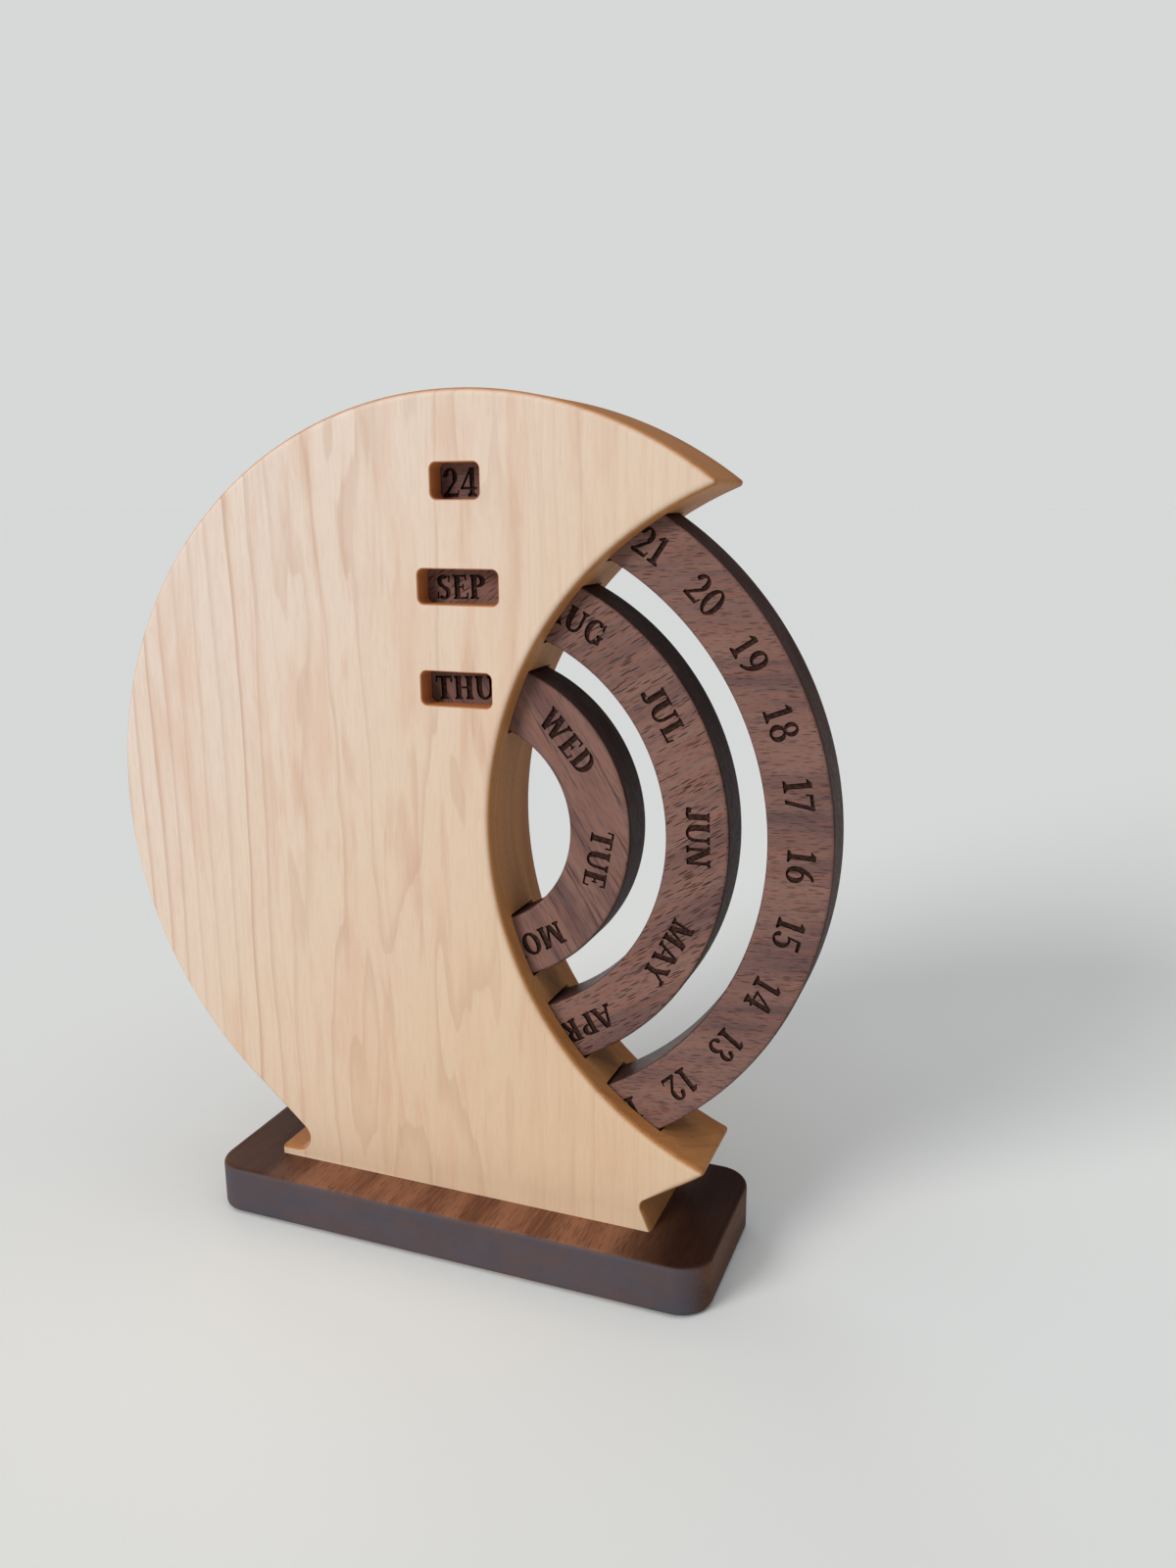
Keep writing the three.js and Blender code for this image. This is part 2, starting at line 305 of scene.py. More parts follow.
# %% Sewing and dressing
def sew(name, patches, finishes, crease=radians(30), merge_distance=0.002 * mm):
    """One closed mesh from (points, faces, finish number) patches, with doubles merged, faces
    outwards and edges sharper than the crease kept sharp."""
    mesh = bpy.data.meshes.new(name)
    starts = np.cumsum([0] + [len(patch[0]) for patch in patches])
    faces = [face for patch, start in zip(patches, starts) for face in (patch[1] + start).tolist()]
    mesh.from_pydata(np.vstack([patch[0] for patch in patches]), [], faces)
    numbers = np.repeat([patch[2] for patch in patches], [len(patch[1]) for patch in patches])
    mesh.polygons.foreach_set("material_index", numbers.astype(np.int32))
    work = bmesh.new()
    work.from_mesh(mesh)
    bmesh.ops.remove_doubles(work, verts=work.verts, dist=merge_distance)
    bmesh.ops.delete(work, geom=[vert for vert in work.verts if not vert.link_faces], context="VERTS")
    bmesh.ops.recalc_face_normals(work, faces=work.faces)
    open_edges = sum(not edge.is_manifold for edge in work.edges)
    work.to_mesh(mesh)
    work.free()
    mesh.shade_smooth()
    mesh.set_sharp_from_angle(angle=crease)
    for finish in finishes:
        mesh.materials.append(finish)
    print(name, "has", len(mesh.polygons), "faces and", open_edges, "open edges")
    return show(name, mesh)


def dress(piece, body, slot, *nodes):
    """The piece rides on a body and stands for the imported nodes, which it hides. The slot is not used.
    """
    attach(piece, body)
    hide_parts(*nodes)

# %% [markdown]
# Wood is a solid thing: its growth rings are nested cylinders round the heart of the tree, and a
# board shows where its faces cut them. The figure could be painted on each face, but when it is
# worked out in space it runs on round every edge. A shader node group holds each effect, and each
# wood places it with its own values.

# %% Node helpers
def link(value, socket):
    """A link, made in the tree that the socket belongs to."""
    socket.id_data.links.new(value, socket)


def add(kind, inputs, **settings):
    """A node with its settings, whose sockets take values or links by name or number. It joins
    the tree of the first socket that feeds it."""
    feeds = [value for value in inputs.values() if isinstance(value, bpy.types.NodeSocket)]
    made = feeds[0].id_data.nodes.new(kind)
    for name, value in settings.items():
        setattr(made, name, value)
    for name, value in inputs.items():
        if isinstance(value, bpy.types.NodeSocket):
            link(value, made.inputs[name])
        else:
            made.inputs[name].default_value = value
    return made


def maths(operation, *values):
    """A Math node's result."""
    return add("ShaderNodeMath", dict(enumerate(values)), operation=operation).outputs[0]


def times(first, second):
    """The product of two values."""
    return maths("MULTIPLY", first, second)


def vectors(operation, first, second):
    """A Vector Math node's result."""
    return add("ShaderNodeVectorMath", {0: first, 1: second}, operation=operation).outputs[0]


def joined(x, y, z=0):
    """A vector of three values."""
    return add("ShaderNodeCombineXYZ", {"X": x, "Y": y, "Z": z}).outputs[0]


def parts(vector):
    """The X, Y and Z parts of a vector."""
    return add("ShaderNodeSeparateXYZ", {0: vector}).outputs


def spread(value, low, high, to_low=0, to_high=1):
    """A Map Range node's smooth step from one range to another."""
    numbers = {"Value": value, "From Min": low, "From Max": high, "To Min": to_low, "To Max": to_high}
    return add("ShaderNodeMapRange", numbers, interpolation_type="SMOOTHSTEP").outputs[0]


def noise(vector, detail=2, roughness=0.5, lean=0):
    """A Noise Texture's value, in patches about 1 across."""
    return add("ShaderNodeTexNoise", {"Vector": vector, "Scale": 1, "Detail": detail,
                                      "Roughness": roughness, "Distortion": lean}).outputs[0]


def stretched(vector, size, turn=(0, 0, 0), move=(0, 0, 0)):
    """A Mapping node: the pattern's frame is turned, moved and stretched on the piece."""
    numbers = {"Vector": vector, "Location": move, "Rotation": turn, "Scale": size}
    return add("ShaderNodeMapping", numbers, vector_type="TEXTURE").outputs[0]


def grain(vector, size, *settings):
    """Noise in patches about as long as the size along X, Y and Z, in millimetres."""
    return noise(stretched(vector, [side * mm for side in size]), *settings)


def layered(ground, *layers):
    """The ground with one colour after another mixed in, each by its share."""
    for share, tint in layers:
        inputs = {0: share, 6: ground, 7: tint}
        ground = add("ShaderNodeMix", inputs, data_type="RGBA").outputs[2]
    return ground


def colour(red, green, blue):
    """An sRGB colour of 0 to 255 as linear RGBA: ((c / 255 + 0.055) / 1.055) to the power 2.4."""
    return (*(((c / 255 + 0.055) / 1.055) ** 2.4 for c in (red, green, blue)), 1)

# %% Making and using a node group
def new_group(name, inputs, outputs):
    """An empty node group with named sockets, and its input and output nodes."""
    tree = bpy.data.node_groups.new(name, "ShaderNodeTree")
    for socket, value in inputs.items():
        kind = "NodeSocketFloat" if isinstance(value, (int, float)) else "NodeSocketVector"
        tree.interface.new_socket(socket, in_out="INPUT", socket_type=kind).default_value = value
    for socket in outputs:
        tree.interface.new_socket(socket, in_out="OUTPUT", socket_type="NodeSocketFloat")
    return tree, tree.nodes.new("NodeGroupInput").outputs, tree.nodes.new("NodeGroupOutput").inputs


def use(group, **inputs):
    """The outputs of a group that is placed in a material with these values."""
    return add("ShaderNodeGroup", inputs, node_tree=group).outputs

# %% Growth rings as a node group
def growth_rings():
    """The distance from the heart, wavered by noise, over the spacing counts the years. A year's
    line rises from 0.7 of it and its shade from 0.3, and both stop as it ends. Each year is
    stronger or weaker at random."""
    tree, given, put = new_group(
        "growth rings",
        {"Vector": (0, 0, 0), "Pith": (0, 0, 0), "Spacing": 6 * mm, "Waver": 2 * mm, "Seed": 0.0},
        ["Line", "Shade"])
    from_pith = vectors("SUBTRACT", given["Vector"], given["Pith"])
    drawn = stretched(from_pith, (14 * mm, 14 * mm, 100 * mm))
    shifted = vectors("ADD", drawn, joined(given["Seed"], given["Seed"]))
    waves = maths("SUBTRACT", noise(shifted, 3, 0.4), 0.5)
    across = parts(from_pith)
    radius = maths("SQRT", maths("ADD", *[maths("POWER", across[side], 2) for side in "XY"]))
    wavered = maths("ADD", radius, times(waves, given["Waver"]))
    years = maths("DIVIDE", wavered, given["Spacing"])
    season = maths("FRACT", years)
    ending = spread(season, 1, 0.96)
    year = add("ShaderNodeTexWhiteNoise", {"W": maths("FLOOR", years)},
               noise_dimensions="1D").outputs[0]
    strength = times(ending, spread(year, 0, 1, 0.3, 1))
    for name, start in (("Line", 0.7), ("Shade", 0.3)):
        link(times(spread(season, start, 0.95), strength), put[name])
    print("The growth rings group has", len(tree.nodes), "nodes")
    return tree


growth = growth_rings()

# %% Pores as a node group
def wood_pores():
    """Space, divided by the pores' width and length, is cut into cells. The amount says which
    share of the cells holds a pore. A pore is 1 up to 0.25 from its cell's point and 0 from 0.4."""
    tree, given, put = new_group(
        "pores", {"Vector": (0, 0, 0), "Width": 0.4 * mm, "Length": 3.6 * mm, "Amount": 0.4},
        ["Pore", "Depth"])
    size = joined(given["Width"], given["Width"], given["Length"])
    fibres = vectors("DIVIDE", given["Vector"], size)
    cells = add("ShaderNodeTexVoronoi", {"Vector": fibres, "Scale": 1, "Randomness": 1}).outputs
    chance = add("ShaderNodeSeparateColor", {0: cells["Color"]}).outputs[0]
    chosen = maths("LESS_THAN", chance, given["Amount"])
    pore = times(spread(cells["Distance"], 0.4, 0.25), chosen)
    link(pore, put["Pore"])
    link(times(pore, -1), put["Depth"])
    print("The pores group has", len(tree.nodes), "nodes")
    return tree


pores = wood_pores()

# %% Materials' common start and end
def new_material(name):
    """A material with its Principled shader, and the object's own coordinates and normals."""
    made = bpy.data.materials.new(name)
    made.use_nodes = True
    nodes = made.node_tree.nodes
    return made, nodes["Principled BSDF"].inputs, nodes.new("ShaderNodeTexCoord").outputs


def surface(shader, face, rough, height, strength, distance):
    """Links the colour, the roughness and a Bump node of the height to the shader."""
    bump = add("ShaderNodeBump", {"Height": height, "Strength": strength, "Distance": distance})
    for name, value in (("Base Color", face), ("Roughness", rough), ("Normal", bump.outputs[0])):
        link(value, shader[name])

# %% [markdown]
# Maple is pale cream, with thin grey-brown lines where a year's growth ends, broader brown
# patches where the board cuts them at a slant, and a very fine fleck. Sawn and routed faces soak
# up more oil than planed ones, most of all across the grain, so they turn orange-brown. One
# material does for all faces of a board, because the direction of a face says how it was cut.

# %% Maple
def maple(name, pith, seed, cut_colour, tone=0.0):
    """Maple whose heart lies at pith, from the ring axis. The face is layered from a gradient, painted
    light towards the top left and the board's warmer tan towards the foot, then from patches, flames
    near the heart, fine and coarse year lines and flecks. Its sides and ends take the cut colour,
    and tone darkens the board as a whole."""
    made, shader, place = new_material(name)
    here = stretched(place["Object"], (1, 1, 1), move=tuple(axis))
    spot = parts(here)
    aside = maths("ABSOLUTE", maths("SUBTRACT", spot["X"], pith[0]))
    waver = spread(aside, 55 * mm, 20 * mm, 3 * mm, 14 * mm)
    rings = use(growth, Vector=here, Pith=pith, Spacing=3.4 * mm, Waver=waver, Seed=seed)
    fine = use(growth, Vector=here, Pith=pith, Spacing=1.9 * mm, Waver=8 * mm, Seed=seed + 3)
    patch = grain(here, (9, 9, 45), 3, 0.5, 0.4)
    flame = grain(here, (4.8, 4.8, 40), 3, 0.5, 0.5)
    fleck = grain(here, (0.5, 0.5, 5), 3, 0.6)
    speck = grain(here, (0.7, 0.7, 1.2))
    # Painted light: paler to the top left, where the window light falls; warmer wood to the foot.
    painted_light_and_tone = maths("SUBTRACT", times(spot["X"], 0.5), times(spot["Z"], 0.4))
    middle = spread(aside, 60 * mm, 20 * mm)
    heart = spread(spot["X"], pith[0] + 35 * mm, pith[0] + 10 * mm, 0.4, 1)
    face = layered(
        colour(228, 211, 198),
        (spread(painted_light_and_tone, -80 * mm, 50 * mm), colour(216, 188, 157)),
        (spread(patch, 0.48, 0.72, 0, 0.38), colour(212, 170, 142)),
        (times(middle, spread(flame, 0.55, 0.7, 0, 0.32)), colour(198, 152, 124)),
        (times(fine["Line"], 0.12), colour(190, 152, 128)),
        (times(rings["Shade"], times(heart, 0.14)), colour(206, 158, 128)),
        (times(rings["Line"], times(heart, 0.44)), colour(178, 138, 112)),
        (spread(fleck, 0.42, 0.72, 0, 0.13), colour(190, 150, 122)))
    slope = parts(place["Normal"])
    side = spread(maths("ABSOLUTE", slope["Y"]), 0.98, 0.5)
    end = times(side, maths("ABSOLUTE", slope["Z"]))
    sawn = layered(
        cut_colour,
        (spread(patch, 0.35, 0.65, 0, 0.3), colour(178, 118, 62)),
        (times(end, 0.3), colour(176, 112, 60)),
        (times(fine["Shade"], 0.22), colour(150, 94, 50)),
        (times(rings["Shade"], 0.3), colour(140, 86, 46)),
        (spread(speck, 0.6, 0.74, 0, 0.5), colour(120, 74, 42)))
    face = layered(face, (times(side, 0.94), sawn), (tone, colour(192, 122, 74)))
    shader["Specular IOR Level"].default_value = 0.12
    surface(shader, face, spread(fleck, 0.3, 0.7, 0.48, 0.6), fleck, 0.1, 0.1 * mm)
    return made


front_pith, front_seed, front_cut = (-15 * mm, 62 * mm, 0), 5.05, colour(194, 132, 74)
front_maple = maple("front maple", front_pith, front_seed, front_cut)
middle_maple = maple("middle maple", (-60 * mm, 90 * mm, 0), 5.0, colour(192, 132, 78), 0.1)
back_maple = maple("back maple", (10 * mm, -80 * mm, 0), 9.0, colour(180, 118, 68), 0.15)
routed_maple = maple("routed maple", front_pith, front_seed, front_cut, 0.75)
print("Made four maple finishes")

# %% [markdown]
# The front panel is the largest surface of all. A router with a rounding bit has eased its whole
# front edge. The windows are cut straight through, with their corners left at the cutter's
# radius. Nothing has to be cut here: the flat faces leave the windows out, and strips line them.

# %% Windows
window_height = 8 * mm
window_corner = 1.5 * mm
window_rise = 0.6 * mm
window_spans = [(-5.8 * mm, 6.4 * mm), (-9.9 * mm, 10.5 * mm), (-9.9 * mm, 8.3 * mm)]


def window(place, inset):
    """A rounded rectangle over its ring's middle; a negative inset makes it larger."""
    low, high = window_spans[place]
    centre = (low + high) / 2, ring_outer[place] - ring_width / 2 + window_rise
    size = high - low, window_height
    return rounded_rectangle(centre, size, window_corner, inset, window_corner_steps)


print("The windows are", [round((high - low) / mm, 1) for low, high in window_spans], "mm wide")

# %% Front panel
def panel(name, planes, edges, windows, finishes):
    """A crescent between two planes, with its front and its back edge eased by the radii given.
    Each window is lined, from its eased front edge to the back."""
    low, high = planes
    mouths, bores = ([window(n, inset) for n in windows] for inset in (-fine_edge, 0))
    patches = block(upright, crescent, eased(low, high, *edges), mouths, bores)
    for mouth, bore in zip(mouths, bores):
        loops = [upright(mouth, low), upright(bore, low + fine_edge), upright(bore, high)]
        patches.append(strip(loops, 1))
    dress(sew(name + "_maple", patches, finishes), "housing", "maple", name)


panel("front_panel", layer_planes[:2], (body_edge, 0), range(3), [front_maple, routed_maple])

# %% [markdown]
# The back panel is the same crescent without windows. The middle layer was one board too, but
# the three ring grooves go right through it, so four loose pieces are left between the panels:
# the rim with the foot, two ridges and the block at the hub. Each is a slab with an outline of
# its own, which is plainer than one slab that is cut three times.

# %% Back panel
panel("back_panel", layer_planes[2:], (0, body_edge), (), [back_maple])

# %% Middle layer
def middle_piece(name, outline):
    """A plain slab between the two panels, with the outline given."""
    patches = block(upright, lambda inset: outline, [(0, y) for y in layer_planes[1:3]])
    dress(sew(name + "_maple", patches, [middle_maple]), "housing", "maple", name)


def rim_outline(groove):
    """The crescent outside the date groove: its outer outline, then up the hollow, round the
    groove and up the hollow again."""
    outer = outer_outline()
    height, angle = meeting(groove)
    return np.vstack((outer, hollow_arc(outer[-1, 1], -height)[1:],
                      arc((0, 0), groove, 2 * pi - angle, angle, groove_steps)[1:],
                      hollow_arc(height, outer[0, 1])[1:-1]))


def ridge_outline(outer, inner):
    """Between two grooves: round the outer one anticlockwise, up the hollow, back round the
    inner one and up the hollow."""
    high, wide = meeting(outer)
    low, narrow = meeting(inner)
    return np.vstack((arc((0, 0), outer, wide, 2 * pi - wide, ridge_steps),
                      hollow_arc(-high, -low, steps=slot_steps)[1:],
                      arc((0, 0), inner, 2 * pi - narrow, narrow, ridge_steps)[1:],
                      hollow_arc(low, high, steps=slot_steps)[1:-1]))


def hub_outline(outer):
    """Inside the weekday groove: its arc, closed by the hollow."""
    height, angle = meeting(outer)
    return np.vstack((arc((0, 0), outer, angle, 2 * pi - angle, hub_steps),
                      hollow_arc(-height, height)[1:-1]))


groove_outer = [radius + radial_clearance for radius in ring_outer]
groove_inner = [radius - radial_clearance for radius in ring_inner]
middle_piece("rim_spacer", rim_outline(groove_outer[0]))
middle_piece("outer_ridge", ridge_outline(groove_inner[0], groove_outer[1]))
middle_piece("inner_ridge", ridge_outline(groove_inner[1], groove_outer[2]))
middle_piece("hub_block", hub_outline(groove_inner[2]))

# %% [markdown]
# Walnut is open-grained: short dark pores lie along the fibres, and its tone drifts from grey to
# red-brown in bands. Noise could darken it, but only separate cells give pores with two ends. Each
# ring was cut from its board at another angle, so each has its own grain direction, which turns
# with the ring.

# %% Walnut
def walnut(name, fibre, tones, pore_shares, streak_share, pore_length, cut_colour, cut, burnt=0.0,
           painted_shade_ends=()):
    """Walnut with its fibres along the direction that the turn gives to local Z. tones are its
    pale, its dark and its reddish colour, and pore_shares those of large and of small pores.
    Faces take the cut colour as their normal's Y part goes from cut[0] to cut[1]. burnt is the
    share of ash. The last argument holds, for each end that gets painted shade and a painted dark
    reflection, from which X to which X it darkens and by how much, and upright sides darken about
    half as much."""
    pale, dark, reddish = tones
    made, shader, place = new_material(name)
    here = stretched(place["Object"], (1, 1, 1), fibre, tuple(axis))
    band = grain(here, (8, 8, 70), 4, 0.55)
    streak = grain(here, (0.9, 0.9, 16), 3, 0.6)
    cloud = grain(here, (12, 5, 12), 4, 0.6)
    large = use(pores, Vector=here, Width=0.38 * mm, Length=pore_length, Amount=0.58)
    small = use(pores, Vector=here, Width=0.24 * mm, Length=pore_length * 0.6, Amount=0.55)
    face = layered(
        dark,
        (spread(band, 0.32, 0.62), pale),
        (spread(streak, 0.42, 0.7, 0, 0.5), reddish),
        (spread(streak, 0.46, 0.28, 0, streak_share), colour(58, 38, 36)),
        (times(small["Pore"], pore_shares[1]), colour(54, 27, 23)),
        (times(large["Pore"], pore_shares[0]), colour(40, 19, 16)))
    slope = parts(place["Normal"])
    # Painted shade and dark reflection: the ends darken, the top more than the upright sides.
    for start, end, share in painted_shade_ends:
        level = spread(maths("ABSOLUTE", slope["Z"]), 0, 1, 0.55, 1)
        painted_shade = times(spread(parts(here)["X"], start, end, 0, share), level)
        face = layered(face, (painted_shade, colour(38, 18, 11)))
    side = spread(maths("ABSOLUTE", slope["Y"]), *cut)
    sawn = layered(cut_colour, (spread(cloud, 0.3, 0.7, 0, 0.3), dark))
    face = layered(face, (times(side, 0.92), sawn))
    if burnt:
        soot = grain(here, (0.6, 0.6, 0.9))
        ash = layered(colour(34, 21, 18), (spread(soot, 0.4, 0.7), colour(70, 48, 40)),
                      (side, colour(16, 9, 8)))
        face = layered(face, (burnt, ash))
    rough = 0.48 + 0.35 * burnt
    shader["Specular IOR Level"].default_value = 0.1 - 0.08 * burnt
    height = maths("ADD", times(streak, 0.3), large["Depth"])
    surface(shader, face, spread(streak, 0.3, 0.7, rough, rough + 0.14), height, 0.3, 0.12 * mm)
    return made

# %% The rings' walnut
def along(angle):
    """The turn that lays local Z along a line in the ring's plane, at an angle from +X."""
    return (0, radians(90 - angle), 0)


ring_tones = colour(131, 100, 91), colour(98, 75, 73), colour(136, 88, 73)
# The turned sides' darker walnut, darkened further as painted shade, as in their grooves.
ring_side_and_shade = colour(46, 22, 14)
ring_grain = {"date": (4, (0.55, 0.4), 0.22, 3.6 * mm), "month": (32, (0.9, 0.55), 0.3, 4.6 * mm),
              "weekday": (-58, (0.3, 0.3), 0.7, 7 * mm)}


def ring_walnut(name, burnt=0.0):
    """A ring's walnut with the grain of its own board, plain or burnt."""
    angle, pore_shares, streak_share, pore_length = ring_grain[name]
    finish = name + (" burnt walnut" if burnt else " walnut")
    return walnut(finish, along(angle), ring_tones, pore_shares, streak_share, pore_length,
                  ring_side_and_shade, (0.9, 0.3), burnt)


ring_walnuts = [ring_walnut(name) for name in ring_grain]
burnt_walnuts = [ring_walnut(name, 0.92) for name in ring_grain]
print("Made", len(ring_walnuts + burnt_walnuts), "ring finishes")

# %% [markdown]
# The marks are roman letters and figures with thick and thin strokes, burnt and cut into the
# rings. A font could be turned into a mesh, but the marks would then hang on a file outside the
# script. A type designer builds a letter from a few parts: upright and slanting stems, thin beams,
# bowls that swell at their sides, serifs and round terminals. So does this alphabet. A part is a
# closed outline with the letter's height as 1, and parts may overlap.

# %% Parts of a letter
thick, thin = 0.24, 0.125


def stem(foot, head, width=thick, low=0.0, high=1.0):
    """A straight stroke between two heights, cut level at both ends."""
    half = width / 2
    return [np.array([(foot - half, low), (foot + half, low), (head + half, high), (head - half, high)])]


def post(x, *shape):
    """An upright stem."""
    return stem(x, x, *shape)


def beam(left, right, low, high):
    """A level stroke."""
    return [np.array([(left, low), (right, low), (right, high), (left, high)])]


def bars(*rights):
    """The level strokes of an E, at its foot, middle and head, each out to its right end, where 0
    leaves one out."""
    ends = [(0.04, 0, 0.09), (0.2, 0.46, 0.55), (0.04, 0.91, 1)]
    return [line for right, (left, low, high) in zip(rights, ends) if right
            for line in beam(left, right, low, high)]


def serif(x, reach, base=0.0):
    """A flat serif on the base line, or under the line at base, with slanted ends: it is a lip
    thick at its ends and rises over the neck in its middle."""
    lip, rise, neck = 0.072, 0.153, 0.45 * reach
    side = 1 if base == 0 else -1
    half = np.array([(reach, base), (reach, base + side * lip), (neck, base + side * rise)])
    return [np.vstack((half, half[::-1] * (-1, 1)))[::side] + (x, 0)]


def bowl(centre, size, start, end, broad=thick, slim=thin, facet=12):
    """The band between two ellipses, in degrees: the inner one is smaller by broad across and by
    slim upwards, so the stroke swells at its sides. More than half a turn is made of two parts."""
    bands = []
    cuts = np.linspace(start, end, 2 + int(abs(end - start) > 180))
    for first, last in zip(cuts, cuts[1:]):
        turn = np.radians(np.linspace(first, last, 2 + int(abs(last - first) / facet)))
        ring = [np.column_stack((centre[0] + (size[0] - cut * broad) * np.cos(turn),
                                 centre[1] + (size[1] - cut * slim) * np.sin(turn))) for cut in (0, 1)]
        bands.append(np.vstack((ring[0], ring[1][::-1])))
    return bands


def ball(x, y, radius):
    """A round terminal."""
    return [circle((x, y), radius, 14)]

# %% The figures
main, hair = 0.18, 0.09
figures = {
    "0": (0.64, bowl((0.31, 0.5), (0.30, 0.51), 0, 360, main, hair)),
    "1": (0.51, post(0.24, main) + serif(0.24, 0.20) + stem(0.07, 0.22, 0.12, 0.82, 1.0)),
    "2": (0.63, bowl((0.29, 0.71), (0.26, 0.30), -40, 165, main, hair) + ball(0.11, 0.76, 0.085)
          + stem(0.09, 0.455, 0.13, 0.06, 0.56) + beam(0.03, 0.57, 0, 0.13)
          + stem(0.55, 0.585, 0.05, 0.06, 0.24)),
    "3": (0.60, bowl((0.27, 0.755), (0.235, 0.255), -95, 155, main, hair) + ball(0.12, 0.80, 0.08)
          + bowl((0.26, 0.27), (0.29, 0.285), -155, 95, main, hair) + ball(0.09, 0.19, 0.08)),
    "4": (0.66, stem(0.07, 0.42, 0.09, 0.30, 1.0) + beam(0.02, 0.63, 0.25, 0.335)
          + post(0.45, main) + serif(0.45, 0.17)),
    "5": (0.60, beam(0.13, 0.52, 0.87, 1.0) + stem(0.12, 0.16, 0.075, 0.50, 0.95)
          + bowl((0.25, 0.31), (0.29, 0.325), -155, 118, main, hair) + ball(0.08, 0.18, 0.08)),
    "6": (0.64, bowl((0.32, 0.31), (0.285, 0.32), 0, 360, main, hair)
          + bowl((0.57, 0.36), (0.535, 0.645), 100, 185, main, hair)),
    "7": (0.60, beam(0.04, 0.57, 0.87, 1.0) + stem(0.035, 0.06, 0.055, 0.74, 0.95)
          + stem(0.20, 0.49, 0.14, 0, 0.9)),
    "8": (0.64, bowl((0.31, 0.755), (0.235, 0.255), 0, 360, main * 0.85, hair)
          + bowl((0.31, 0.27), (0.285, 0.285), 0, 360, main, hair)),
    "9": (0.64, bowl((0.31, 0.69), (0.285, 0.32), 0, 360, main, hair)
          + bowl((0.06, 0.64), (0.535, 0.645), -80, 5, main, hair)),
}
print("The figures", "".join(figures))

